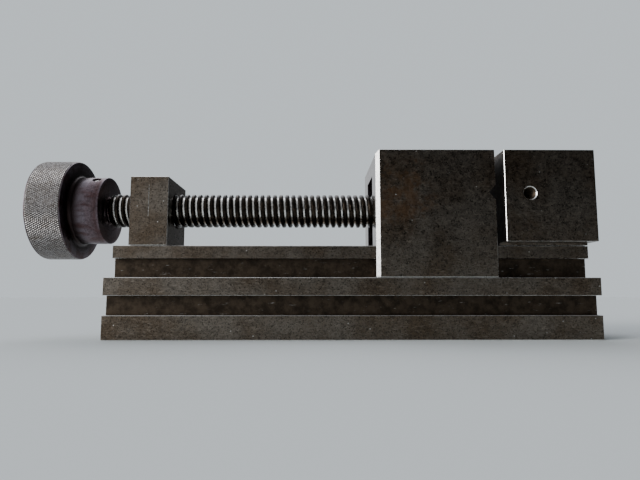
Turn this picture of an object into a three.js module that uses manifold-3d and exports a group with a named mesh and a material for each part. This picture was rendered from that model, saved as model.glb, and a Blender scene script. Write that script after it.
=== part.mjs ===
// A screw-operated precision vise: ground steel base with a T rail, a fixed jaw, a nut block,
// and a moving jaw that a lead screw with a knurled knob pushes and pulls along the rail.
// Millimetres. X runs along the rail, from the knob (-X) to the fixed jaw (+X). +Z is up.
// The origin is the centre of the base's underside.

import * as THREE from 'three';
import { mergeVertices } from 'three/addons/utils/BufferGeometryUtils.js';
import Module from 'manifold-3d';

const wasm = await Module();
wasm.setup();

// ---------- driving dimensions ----------
const GAP = 0.3;                  // clearance between pieces that touch

// base, as heights above its underside and half widths about the centre plane
const BASE_LENGTH = 216;
const HALF_WIDTH = 25;
const FLANGE_TOP = 10.5;
const GROOVE_TOP = 19;            // the clamping groove runs from FLANGE_TOP to here
const GROOVE_DEPTH = 4.5;
const LEDGE_TOP = 26.8;
const NECK_HALF_WIDTH = 12.4;
const RAIL_UNDERSIDE = 35.7;
const RAIL_HALF_WIDTH = 15.6;
const RAIL_TOP = 41.5;
const EDGE_BREAK = 0.5;           // small chamfer on long edges

// jaws and nut block
const JAW_TOP = 83.8;
const FIXED_JAW_START = 67.5;     // its clamping face
const FIXED_JAW_UNDERSIDE = 42.7; // of the two sides that hang over the rail
const MOVING_JAW_START = 10.3;    // its back face
const MOVING_JAW_END = 63.3;      // its clamping face
const BACK_CORNER_CHAMFER = 1.65;
const V_GROOVE_HEIGHT = 6.6;
const V_GROOVE_DEPTH = 3;
const V_GROOVE_Z = 64.5;
const NUT_BLOCK_START = -101.1;
const NUT_BLOCK_END = -83.7;
const NUT_BLOCK_TOP = 73.4;
const STOP_HOLE = { radius: 3, depth: 14, fromFace: 11.1, z: 64.2 };

// lead screw, 16 mm trapezoidal, 3 mm pitch, right hand
const SCREW_Z = 59.8;
const SCREW_RADIUS = 8;
const ROOT_RADIUS = 6.5;
const PITCH = 3;
const CREST_SHARE = 0.44;         // of the pitch, at the crest
const ROOT_SHARE = 0.16;          // of the pitch, at the root
const THREAD_SIDES = 12;          // steps in each turn of the thread
const NUT_BORE_RADIUS = 8.5;
const SPIGOT_RADIUS = 5.5;        // carries the knob
const SPIGOT_RECESS = 0.6;        // how far its end sits inside the knob's face
const SPIGOT_ROOT = 1;            // length of the spigot inside the thread, to join them
const SCREW_NECK_RADIUS = 5;      // runs in the keeper plate
const COLLAR_LENGTH = 6;
const THREAD_REACH = 7.5;         // how far the thread runs into the jaw's slot

// knob
const KNOB_FACE = -145.3;         // outer end
const KNOB_SHOULDER = -129.2;     // where the head meets the hub
const HUB_END = -115.5;
const KNOB_RADIUS = 23.6;
const HUB_RADIUS = 16;
const KNOB_EDGE = 1;              // chamfer on the head's outer edge
const SHOULDER_EDGE = 0.4;        // chamfer on the head's and the hub's inner edges
const HUB_FILLET = 1.5;
const PIN_RECESS = 0.5;           // how far the pin's ends sit inside the hub's surface
const PIN_RADIUS = 1.8;
const PIN_X = -119.6;
const PIN_TILT = THREE.MathUtils.degToRad(62);   // from the near side, towards the top

// the jaw's slot, and what holds the screw in it
const SLOT_HALF_WIDTH = 10;
const SLOT_TOP = 75;
const SLOT_DEPTH = 14;
const COLLAR_BORE_DEPTH = 8.9;
const COLLAR_PROUD = 0.1;         // how far the collar stands out of its bore
const KEEPER_THICKNESS = 4;
const KEEPER_SCREW_Y = 5.5;
const KEEPER_SCREW_Z = 47.8;
const KEEPER_SCREW_LENGTH = 12;
const BUTTON_THICKNESS = 2.4;

// fasteners: cap screws and dowels, from the standard sizes
const M6 = { radius: 3, headRadius: 5, headHeight: 6, socketAcross: 5 };
const M4 = { radius: 2, headRadius: 3.4, headHeight: 3, socketAcross: 3 };
const HEAD_RECESS = 0.5;          // how far a bolt head sits inside the underside
const HEAD_CLEARANCE = 0.5;       // round a bolt head, in its counterbore
const BOLT_Y = 8;
const DOWEL_EMBED = 8;            // length of a dowel in each of its two pieces
const ROUND_SIDES = 24;
const FINE_SIDES = 48;

// ---------- helpers ----------
function toSolid(geometry) {
  const bare = geometry.clone();
  bare.deleteAttribute('normal');
  bare.deleteAttribute('uv');
  const merged = mergeVertices(bare, 1e-4);
  return new wasm.Manifold(new wasm.Mesh({
    numProp: 3,
    vertProperties: new Float32Array(merged.attributes.position.array),
    triVerts: new Uint32Array(merged.index.array),
  }));
}

function toGeometry(solid) {
  const mesh = solid.getMesh();
  const geometry = new THREE.BufferGeometry();
  geometry.setAttribute('position', new THREE.BufferAttribute(mesh.vertProperties, 3));
  geometry.setIndex(new THREE.BufferAttribute(mesh.triVerts, 1));
  geometry.computeVertexNormals();
  return geometry;
}

function cut(body, ...tools) {
  let solid = toSolid(body);
  for (const tool of tools) solid = solid.subtract(toSolid(tool));
  return toGeometry(solid);
}

function join(...bodies) {
  return toGeometry(bodies.map(toSolid).reduce((all, next) => all.add(next)));
}

function box(x0, x1, y0, y1, z0, z1) {
  const geometry = new THREE.BoxGeometry(x1 - x0, y1 - y0, z1 - z0);
  return geometry.translate((x0 + x1) / 2, (y0 + y1) / 2, (z0 + z1) / 2);
}

// A rod from one point to another.
function rod(radius, from, to, sides = ROUND_SIDES) {
  const along = new THREE.Vector3().subVectors(to, from);
  const geometry = new THREE.CylinderGeometry(radius, radius, along.length(), sides);
  const turn = new THREE.Quaternion().setFromUnitVectors(
    new THREE.Vector3(0, 1, 0), along.clone().normalize());
  geometry.applyQuaternion(turn);
  const middle = from.clone().add(to).multiplyScalar(0.5);
  return geometry.translate(middle.x, middle.y, middle.z);
}

function rodX(radius, x0, x1, y, z, sides = ROUND_SIDES) {
  return rod(radius, new THREE.Vector3(x0, y, z), new THREE.Vector3(x1, y, z), sides);
}

function rodZ(radius, z0, z1, x, y, sides = ROUND_SIDES) {
  return rod(radius, new THREE.Vector3(x, y, z0), new THREE.Vector3(x, y, z1), sides);
}

// An outline of [y, z] points, extruded along X.
function alongX(outline, x0, x1) {
  const shape = new THREE.Shape(outline.map(([y, z]) => new THREE.Vector2(y, z)));
  const geometry = new THREE.ExtrudeGeometry(shape, { depth: x1 - x0, bevelEnabled: false });
  const basis = new THREE.Matrix4().makeBasis(
    new THREE.Vector3(0, 1, 0), new THREE.Vector3(0, 0, 1), new THREE.Vector3(1, 0, 0));
  return geometry.applyMatrix4(basis).translate(x0, 0, 0);
}

// An outline of [x, z] points, extruded across the vise.
function acrossY(outline, y0, y1) {
  const shape = new THREE.Shape(outline.map(([x, z]) => new THREE.Vector2(x, z)));
  const geometry = new THREE.ExtrudeGeometry(shape, { depth: y1 - y0, bevelEnabled: false });
  const basis = new THREE.Matrix4().makeBasis(
    new THREE.Vector3(1, 0, 0), new THREE.Vector3(0, 0, 1), new THREE.Vector3(0, -1, 0));
  return geometry.applyMatrix4(basis).translate(0, y1, 0);
}

// The half outline's [y, z] points, mirrored about the centre plane.
function mirrored(half) {
  return [...half, ...half.map(([y, z]) => [-y, z]).reverse()];
}

// A turned piece on the screw's axis, from [x, radius] points that start and end on the axis.
function turned(profile, sides = FINE_SIDES) {
  const points = profile.map(([x, radius]) => new THREE.Vector2(radius, x));
  const geometry = new THREE.LatheGeometry(points, sides);
  return geometry.rotateZ(-Math.PI / 2).translate(0, 0, SCREW_Z);
}

function steel(color, roughness) {
  return new THREE.MeshStandardMaterial({ color, roughness, metalness: 1 });
}

const darkGroundSteel = () => steel(0x6a625a, 0.38);
const turnedSteel = () => steel(0x726b66, 0.34);
const blackOxideSteel = () => steel(0x2c2c2e, 0.45);
const hardenedPinSteel = () => steel(0xa8a6a2, 0.25);

const vise = new THREE.Group();

function add(name, geometry, material) {
  const mesh = new THREE.Mesh(geometry, material);
  mesh.name = name;
  vise.add(mesh);
}

// ---------- root body: base, nut block, fixed jaw and their fasteners ----------
const NUT_BLOCK_X = (NUT_BLOCK_START + NUT_BLOCK_END) / 2;
const END = BASE_LENGTH / 2;
const FIXED_JAW_X = (FIXED_JAW_START + END) / 2;
const BLOCK_SEAT = RAIL_TOP + GAP;
const NUT_BOLT_ENGAGEMENT = 9.5;
const JAW_BOLT_ENGAGEMENT = 15;
const JAW_BOLT_SPREAD = 10.5;     // from the fixed jaw's middle, along X
const JAW_DOWEL_SPREAD = 15.5;
const NUT_DOWEL_SPREAD = 5.2;

const pairOnY = (x, y) => [{ x, y: -y }, { x, y }];
const nutBolts = pairOnY(NUT_BLOCK_X, BOLT_Y);
const nutDowels = [-1, 1].map((side) => ({ x: NUT_BLOCK_X + side * NUT_DOWEL_SPREAD, y: 0 }));
const jawBolts = [-1, 1].flatMap((side) => pairOnY(FIXED_JAW_X + side * JAW_BOLT_SPREAD, BOLT_Y));
const jawDowels = [-1, 1].map((side) => ({ x: FIXED_JAW_X + side * JAW_DOWEL_SPREAD, y: 0 }));
const NUT_DOWEL_RADIUS = 2;
const JAW_DOWEL_RADIUS = 2.5;

function baseOutline() {
  const e = EDGE_BREAK;
  const w = HALF_WIDTH;
  return mirrored([
    [w - e, 0], [w, e], [w, FLANGE_TOP - e], [w - e, FLANGE_TOP],
    [w - GROOVE_DEPTH, FLANGE_TOP], [w - GROOVE_DEPTH, GROOVE_TOP],
    [w - e, GROOVE_TOP], [w, GROOVE_TOP + e], [w, LEDGE_TOP - e], [w - e, LEDGE_TOP],
    [NECK_HALF_WIDTH, LEDGE_TOP], [NECK_HALF_WIDTH, RAIL_UNDERSIDE],
    [RAIL_HALF_WIDTH - e, RAIL_UNDERSIDE], [RAIL_HALF_WIDTH, RAIL_UNDERSIDE + e],
    [RAIL_HALF_WIDTH, RAIL_TOP - e], [RAIL_HALF_WIDTH - e, RAIL_TOP],
  ]);
}

function base() {
  const counterbore = M6.headHeight + HEAD_RECESS + GAP;
  const boltHoles = [...nutBolts, ...jawBolts].flatMap(({ x, y }) => [
    rodZ(M6.headRadius + HEAD_CLEARANCE, -1, counterbore, x, y),
    rodZ(M6.radius + GAP, -1, RAIL_TOP + 1, x, y),
  ]);
  const dowelHole = (radius) => ({ x, y }) => rodZ(
    radius + GAP, RAIL_TOP - DOWEL_EMBED - GAP, RAIL_TOP + 1, x, y);
  return cut(
    alongX(baseOutline(), -END, END),
    ...boltHoles,
    ...nutDowels.map(dowelHole(NUT_DOWEL_RADIUS)),
    ...jawDowels.map(dowelHole(JAW_DOWEL_RADIUS)),
  );
}

// A block's cross-section with broken corners; sides stand on the rail's top.
function blockOutline(halfWidth, bottom, top, edge) {
  return mirrored([
    [halfWidth - edge, bottom], [halfWidth, bottom + edge],
    [halfWidth, top - edge], [halfWidth - edge, top],
  ]);
}

const seatHole = (radius, length) => ({ x, y }) => rodZ(
  radius + GAP, BLOCK_SEAT - 1, BLOCK_SEAT + length + GAP, x, y);

function nutBlock() {
  const outline = blockOutline(RAIL_HALF_WIDTH, BLOCK_SEAT, NUT_BLOCK_TOP, EDGE_BREAK);
  return cut(
    alongX(outline, NUT_BLOCK_START, NUT_BLOCK_END),
    rodX(NUT_BORE_RADIUS, NUT_BLOCK_START - 1, NUT_BLOCK_END + 1, 0, SCREW_Z, FINE_SIDES),
    ...nutBolts.map(seatHole(M6.radius, NUT_BOLT_ENGAGEMENT)),
    ...nutDowels.map(seatHole(NUT_DOWEL_RADIUS, DOWEL_EMBED)),
  );
}

function fixedJaw() {
  const e = 2 * EDGE_BREAK;
  const outline = mirrored([
    [RAIL_HALF_WIDTH, BLOCK_SEAT], [RAIL_HALF_WIDTH, FIXED_JAW_UNDERSIDE],
    [HALF_WIDTH - e, FIXED_JAW_UNDERSIDE], [HALF_WIDTH, FIXED_JAW_UNDERSIDE + e],
    [HALF_WIDTH, JAW_TOP - e], [HALF_WIDTH - e, JAW_TOP],
  ]);
  const holeX = FIXED_JAW_START + STOP_HOLE.fromFace;
  const stopHole = rod(STOP_HOLE.radius,
    new THREE.Vector3(holeX, -HALF_WIDTH - 1, STOP_HOLE.z),
    new THREE.Vector3(holeX, -HALF_WIDTH + STOP_HOLE.depth, STOP_HOLE.z));
  return cut(
    alongX(outline, FIXED_JAW_START, END),
    stopHole,
    ...jawBolts.map(seatHole(M6.radius, JAW_BOLT_ENGAGEMENT)),
    ...jawDowels.map(seatHole(JAW_DOWEL_RADIUS, DOWEL_EMBED)),
  );
}

// A cap screw that stands on its head, under the base, with a hexagon socket in the head.
function capScrewUp(size, x, y, engagement) {
  const shoulder = HEAD_RECESS + size.headHeight;
  const body = join(
    rodZ(size.headRadius, HEAD_RECESS, shoulder, x, y),
    rodZ(size.radius, shoulder - 1, BLOCK_SEAT + engagement, x, y),
  );
  const socket = rodZ(size.socketAcross / Math.sqrt(3), 0,
    HEAD_RECESS + size.headHeight / 2, x, y, 6);
  return cut(body, socket);
}

function dowel(radius, { x, y }) {
  return rodZ(radius, RAIL_TOP - DOWEL_EMBED, BLOCK_SEAT + DOWEL_EMBED, x, y);
}

add('base', base(), darkGroundSteel());
add('nut_block', nutBlock(), darkGroundSteel());
add('fixed_jaw', fixedJaw(), darkGroundSteel());
nutBolts.forEach(({ x, y }, i) => add(
  `nut_block_bolt_${i + 1}`, capScrewUp(M6, x, y, NUT_BOLT_ENGAGEMENT), blackOxideSteel()));
nutDowels.forEach((place, i) => add(
  `nut_block_dowel_${i + 1}`, dowel(NUT_DOWEL_RADIUS, place), hardenedPinSteel()));
jawBolts.forEach(({ x, y }, i) => add(
  `fixed_jaw_bolt_${i + 1}`, capScrewUp(M6, x, y, JAW_BOLT_ENGAGEMENT), blackOxideSteel()));
jawDowels.forEach((place, i) => add(
  `fixed_jaw_dowel_${i + 1}`, dowel(JAW_DOWEL_RADIUS, place), hardenedPinSteel()));

// ---------- moving jaw body ----------
const SLOT_BACK = MOVING_JAW_START + SLOT_DEPTH;
const COLLAR_START = SLOT_BACK - COLLAR_PROUD;
const COLLAR_END = COLLAR_START + COLLAR_LENGTH;
const BUTTON_START = COLLAR_END + GAP;
const KEEPER_END = SLOT_BACK - GAP;
const KEEPER_START = KEEPER_END - KEEPER_THICKNESS;
const KEEPER_BOTTOM = RAIL_TOP + 3 * GAP;
const keeperScrews = [-KEEPER_SCREW_Y, KEEPER_SCREW_Y];

function movingJaw() {
  const e = EDGE_BREAK;
  const w = HALF_WIDTH;
  const bottom = LEDGE_TOP + GAP;
  const lip = RAIL_UNDERSIDE - GAP;
  const c = BACK_CORNER_CHAMFER;
  const outline = mirrored([
    [NECK_HALF_WIDTH + GAP, bottom], [w - e, bottom], [w, bottom + e], [w, JAW_TOP - e],
    [w - e, JAW_TOP],
  ]);
  const railSpace = mirrored([
    [NECK_HALF_WIDTH + GAP, bottom - 1], [NECK_HALF_WIDTH + GAP, lip],
    [RAIL_HALF_WIDTH + GAP, lip], [RAIL_HALF_WIDTH + GAP, BLOCK_SEAT],
  ]);
  const groove = acrossY([
    [MOVING_JAW_END + 1, V_GROOVE_Z - V_GROOVE_HEIGHT / 2 - 1],
    [MOVING_JAW_END + 1, V_GROOVE_Z + V_GROOVE_HEIGHT / 2 + 1],
    [MOVING_JAW_END, V_GROOVE_Z + V_GROOVE_HEIGHT / 2],
    [MOVING_JAW_END - V_GROOVE_DEPTH, V_GROOVE_Z],
    [MOVING_JAW_END, V_GROOVE_Z - V_GROOVE_HEIGHT / 2],
  ], -w - 1, w + 1);
  const cornerCuts = [-1, 1].map((side) => {
    const wedge = new THREE.Shape([
      new THREE.Vector2(MOVING_JAW_START - 1, side * (w - c - 1)),
      new THREE.Vector2(MOVING_JAW_START + c + 1, side * (w + 1)),
      new THREE.Vector2(MOVING_JAW_START - 1, side * (w + 1)),
    ]);
    return new THREE.ExtrudeGeometry(wedge, { depth: JAW_TOP, bevelEnabled: false });
  });
  const screwHoles = keeperScrews.map((y) => rodX(
    M4.radius + GAP, SLOT_BACK - 1, KEEPER_START + KEEPER_SCREW_LENGTH + GAP, y, KEEPER_SCREW_Z));
  return cut(
    alongX(outline, MOVING_JAW_START, MOVING_JAW_END),
    alongX(railSpace, MOVING_JAW_START - 1, MOVING_JAW_END + 1),
    box(MOVING_JAW_START - 1, SLOT_BACK, -SLOT_HALF_WIDTH, SLOT_HALF_WIDTH, RAIL_TOP, SLOT_TOP),
    rodX(SCREW_RADIUS + GAP, SLOT_BACK - 1, SLOT_BACK + COLLAR_BORE_DEPTH, 0, SCREW_Z, FINE_SIDES),
    groove,
    ...cornerCuts,
    ...screwHoles,
  );
}

// The keeper's notch is open at the top, so it slides up round the screw's neck from below.
function keeperPlate() {
  const notch = SCREW_NECK_RADIUS + GAP;
  return cut(
    box(KEEPER_START, KEEPER_END, -SLOT_HALF_WIDTH + GAP, SLOT_HALF_WIDTH - GAP,
      KEEPER_BOTTOM, SLOT_TOP - GAP),
    rodX(notch, KEEPER_START - 1, KEEPER_END + 1, 0, SCREW_Z),
    box(KEEPER_START - 1, KEEPER_END + 1, -notch, notch, SCREW_Z, SLOT_TOP + 1),
    ...keeperScrews.map((y) => rodX(
      M4.radius + GAP, KEEPER_START - 1, KEEPER_END + 1, y, KEEPER_SCREW_Z)),
  );
}

function keeperScrew(y) {
  const head = KEEPER_START - GAP;
  const body = join(
    rodX(M4.headRadius, head - M4.headHeight, head, y, KEEPER_SCREW_Z),
    rodX(M4.radius, head - 1, KEEPER_START + KEEPER_SCREW_LENGTH, y, KEEPER_SCREW_Z),
  );
  const socket = rodX(M4.socketAcross / Math.sqrt(3), head - M4.headHeight - 1,
    head - M4.headHeight / 2, y, KEEPER_SCREW_Z, 6);
  return cut(body, socket);
}

add('moving_jaw', movingJaw(), darkGroundSteel());
add('keeper_plate', keeperPlate(), turnedSteel());
keeperScrews.forEach((y, i) => add(`keeper_screw_${i + 1}`, keeperScrew(y), blackOxideSteel()));
add('thrust_button',
  rodX(SCREW_RADIUS - GAP, BUTTON_START, BUTTON_START + BUTTON_THICKNESS, 0, SCREW_Z),
  hardenedPinSteel());

// ---------- screw body ----------
const THREAD_START = HUB_END + GAP;
const THREAD_END = MOVING_JAW_START + THREAD_REACH;

// One right-hand trapezoidal thread as a closed skin. Each turn has four rings of points: both
// edges of the crest and of the root. Each point is set forward by its angle's share of the pitch,
// so the last step of a ring meets the ring one pitch on.
function threadedRod(x0, x1) {
  const flank = (1 - CREST_SHARE - ROOT_SHARE) / 2;
  const rings = [
    [0, ROOT_RADIUS], [ROOT_SHARE, ROOT_RADIUS],
    [ROOT_SHARE + flank, SCREW_RADIUS], [1 - flank, SCREW_RADIUS],
  ];
  const turns = Math.ceil((x1 - x0) / PITCH) + 3;
  const ringCount = turns * rings.length;
  const start = x0 - 1.5 * PITCH;
  const positions = [];
  for (let ring = 0; ring < ringCount; ring += 1) {
    const [share, radius] = rings[ring % rings.length];
    const x = start + (Math.floor(ring / rings.length) + share) * PITCH;
    for (let side = 0; side < THREAD_SIDES; side += 1) {
      const angle = (2 * Math.PI * side) / THREAD_SIDES;
      positions.push(x + (PITCH * side) / THREAD_SIDES,
        radius * Math.cos(angle), radius * Math.sin(angle));
    }
  }
  const point = (ring, side) => (side < THREAD_SIDES
    ? ring * THREAD_SIDES + side : (ring + rings.length) * THREAD_SIDES);
  const faces = [];
  for (let ring = 0; ring + 1 < ringCount; ring += 1) {
    for (let side = 0; side < THREAD_SIDES; side += 1) {
      if (side === THREAD_SIDES - 1 && ring + 1 + rings.length >= ringCount) continue;
      const a = point(ring, side);
      const b = point(ring, side + 1);
      const c = point(ring + 1, side + 1);
      const d = point(ring + 1, side);
      faces.push(a, b, c, a, c, d);
    }
  }
  closeEnds(positions, faces, ringCount, rings.length, start);
  const geometry = new THREE.BufferGeometry();
  geometry.setAttribute('position', new THREE.Float32BufferAttribute(positions, 3));
  geometry.setIndex(faces);
  geometry.translate(0, 0, SCREW_Z);
  const trim = rodX(SCREW_RADIUS + 1, x0, x1, 0, SCREW_Z);
  return toGeometry(toSolid(geometry).intersect(toSolid(trim)));
}

// Fans from a point on the axis close each end. An end's rim is one ring, and the step of one
// pitch between that ring's first and last points.
function closeEnds(positions, faces, ringCount, ringsPerTurn, start) {
  const ring = [...Array(THREAD_SIDES).keys()];
  const steps = [...Array(ringsPerTurn).keys()].map((step) => step + 1);
  const last = ringCount - 1;
  const startRim = [...ring, ...steps.map((step) => step * THREAD_SIDES).reverse()];
  const endRim = [
    ...ring.map((side) => last * THREAD_SIDES + side),
    ...steps.map((step) => (last - step + 1) * THREAD_SIDES - 1),
  ];
  const startCentre = positions.length / 3;
  const endCentre = startCentre + 1;
  positions.push(start + PITCH / 2, 0, 0);
  positions.push(start + (ringCount / ringsPerTurn + 0.25) * PITCH, 0, 0);
  startRim.forEach((point, i) => {
    faces.push(startCentre, startRim[(i + 1) % startRim.length], point);
  });
  endRim.forEach((point, i) => {
    faces.push(endCentre, point, endRim[(i + 1) % endRim.length]);
  });
}

const pinAxis = new THREE.Vector3(0, -Math.cos(PIN_TILT), Math.sin(PIN_TILT));
function pinRod(radius, halfLength) {
  const centre = new THREE.Vector3(PIN_X, 0, SCREW_Z);
  return rod(radius,
    centre.clone().addScaledVector(pinAxis, -halfLength),
    centre.clone().addScaledVector(pinAxis, halfLength));
}

function leadScrew() {
  const shaft = turned([
    [KNOB_FACE + SPIGOT_RECESS, 0], [KNOB_FACE + SPIGOT_RECESS, SPIGOT_RADIUS],
    [THREAD_START + SPIGOT_ROOT, SPIGOT_RADIUS], [THREAD_START + SPIGOT_ROOT, 0],
  ], ROUND_SIDES);
  const nose = turned([
    [THREAD_END - SPIGOT_ROOT, 0], [THREAD_END - SPIGOT_ROOT, SCREW_NECK_RADIUS],
    [COLLAR_START, SCREW_NECK_RADIUS], [COLLAR_START, SCREW_RADIUS],
    [COLLAR_END, SCREW_RADIUS], [COLLAR_END, 0],
  ], ROUND_SIDES);
  return cut(join(threadedRod(THREAD_START, THREAD_END), shaft, nose),
    pinRod(PIN_RADIUS + GAP, HUB_RADIUS));
}

function knob() {
  const body = turned([
    [KNOB_FACE, 0], [KNOB_FACE, KNOB_RADIUS - KNOB_EDGE], [KNOB_FACE + KNOB_EDGE, KNOB_RADIUS],
    [KNOB_SHOULDER - SHOULDER_EDGE, KNOB_RADIUS], [KNOB_SHOULDER, KNOB_RADIUS - SHOULDER_EDGE],
    [KNOB_SHOULDER, HUB_RADIUS + HUB_FILLET], [KNOB_SHOULDER + HUB_FILLET, HUB_RADIUS],
    [HUB_END - SHOULDER_EDGE, HUB_RADIUS], [HUB_END, HUB_RADIUS - SHOULDER_EDGE], [HUB_END, 0],
  ]);
  return cut(body,
    rodX(SPIGOT_RADIUS + GAP, KNOB_FACE - 1, HUB_END + 1, 0, SCREW_Z),
    pinRod(PIN_RADIUS + GAP, KNOB_RADIUS));
}

add('lead_screw', leadScrew(), turnedSteel());
add('knob', knob(), turnedSteel());
add('knob_pin', pinRod(PIN_RADIUS, HUB_RADIUS - PIN_RECESS), hardenedPinSteel());

export default vise;
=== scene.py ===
"""A small ground-steel bench vise: T-rail base, two jaws, a nut block, and a lead screw with a knob.

Laid out as an add-on: each operator makes one piece, or one group of like pieces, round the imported
model's frame. All lengths are in metres, +X runs along the rail from the knob to the fixed jaw.
"""

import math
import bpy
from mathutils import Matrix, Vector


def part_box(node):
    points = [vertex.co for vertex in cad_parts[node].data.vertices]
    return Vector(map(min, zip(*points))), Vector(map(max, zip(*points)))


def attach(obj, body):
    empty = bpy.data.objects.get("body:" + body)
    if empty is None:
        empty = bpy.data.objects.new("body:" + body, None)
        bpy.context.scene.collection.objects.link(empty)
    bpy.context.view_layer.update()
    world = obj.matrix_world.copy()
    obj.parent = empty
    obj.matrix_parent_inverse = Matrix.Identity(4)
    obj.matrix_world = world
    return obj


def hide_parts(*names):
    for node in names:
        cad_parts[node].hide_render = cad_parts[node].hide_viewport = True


bl_info = {
    "name": "Precision Bench Vise",
    "version": (1, 0, 0),
    "blender": (4, 5, 0),
    "location": "View3D > Sidebar > Vise",
    "description": "Builds a ground steel screw vise with its finishes and a studio stage",
    "category": "Add Mesh",
}

import bmesh
import bpy
from mathutils import Matrix, Vector

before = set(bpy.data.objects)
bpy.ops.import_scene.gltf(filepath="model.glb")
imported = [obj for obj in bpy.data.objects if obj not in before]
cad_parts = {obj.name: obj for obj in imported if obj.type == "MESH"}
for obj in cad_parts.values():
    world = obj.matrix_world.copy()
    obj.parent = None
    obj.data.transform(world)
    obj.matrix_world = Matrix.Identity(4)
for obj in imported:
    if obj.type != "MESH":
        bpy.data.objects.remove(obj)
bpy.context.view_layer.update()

MM = 0.001
GAP = 0.3 * MM
BASE_LOW, BASE_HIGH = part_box("base")
NUT_LOW, NUT_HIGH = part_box("nut_block")
FIXED_LOW, FIXED_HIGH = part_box("fixed_jaw")
MOVING_LOW, MOVING_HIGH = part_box("moving_jaw")
SCREW_LOW, SCREW_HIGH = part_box("lead_screw")
KNOB_LOW, KNOB_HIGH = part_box("knob")
PIN_LOW, PIN_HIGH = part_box("knob_pin")
KEEPER_LOW, KEEPER_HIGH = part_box("keeper_plate")
SCREW_AXIS_Z = (KNOB_LOW.z + KNOB_HIGH.z) / 2
RAIL_TOP = BASE_HIGH.z
HALF_WIDTH = BASE_HIGH.y

# Material slots on a machined piece: its ground faces, the bright faces of its broken edges, the
# faces that were finished in another way or take painted shade (the base's grooves and neck, the
# fixed jaw's clamping face), and the moving jaw's clamping face, which takes painted shade.
FACES = 0
EDGES = 1
OTHERS = 2
CLAMPING = 3
SHARP_ANGLE = math.radians(25)
WELD = 0.001 * MM                 # points nearer than this are one point
CREST_SHARE = 0.44                # of the pitch, at the lead screw's crest
ROOT_SHARE = 0.16                 # of the pitch, at its root

CAP_SCREWS = ["nut_block_bolt_1", "nut_block_bolt_2"] + [f"fixed_jaw_bolt_{i}" for i in range(1, 5)]
KEEPER_SCREWS = ["keeper_screw_1", "keeper_screw_2"]
DOWELS = ["nut_block_dowel_1", "nut_block_dowel_2", "fixed_jaw_dowel_1", "fixed_jaw_dowel_2"]
SCREW_HEAD_TOP = 6.5 * MM         # height of the cap screws' heads above the underside
HEAD_ROOM = 0.5 * MM              # between a cap screw's head and its counterbore
SHANK_BORE = 3.3 * MM             # radius of the hole for a cap screw's shank
BORE_FLARE = 0.4 * MM             # chamfer at the mouths of the nut's bore
OVERCUT = MM                      # how far a cutter reaches past the face it opens
STOP_HOLE_DEPTH = 13 * MM
THREAD_IN_JAW = 7.5 * MM          # how far the lead screw's thread runs into the moving jaw
THREAD_FOOT = 0.3 * MM            # how far below its root the thread's ends slope down
COLLAR_LENGTH = 6 * MM            # of the lead screw's collar, inside the moving jaw
COLLAR_BORE_DEPTH = 8.9 * MM      # from the back of the moving jaw's slot

NEAR_LEVEL = 0.038                # how bright reflections see the near side of the room
BACKDROP = "D4DCE1"               # what the camera sees of the surround

MADE = {}                         # each finish's material, once it has been made


# ---------- sizes and colours a user would change ----------

def linear(hex_colour):
    """The linear RGBA of an sRGB colour written as six hex digits."""
    channels = [int(hex_colour[i:i + 2], 16) / 255 for i in (0, 2, 4)]
    return [c / 12.92 if c <= 0.04045 else ((c + 0.055) / 1.055) ** 2.4 for c in channels] + [1.0]


def length(label, words, default):
    """A property for a length in metres."""
    return bpy.props.FloatProperty(
        name=label, description=words, default=default, min=0.0, unit="LENGTH", precision=5)


def colour(label, words, hex_colour):
    """A property for a colour."""
    return bpy.props.FloatVectorProperty(
        name=label, description=words, default=linear(hex_colour), size=4, min=0.0, max=1.0,
        subtype="COLOR")


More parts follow.
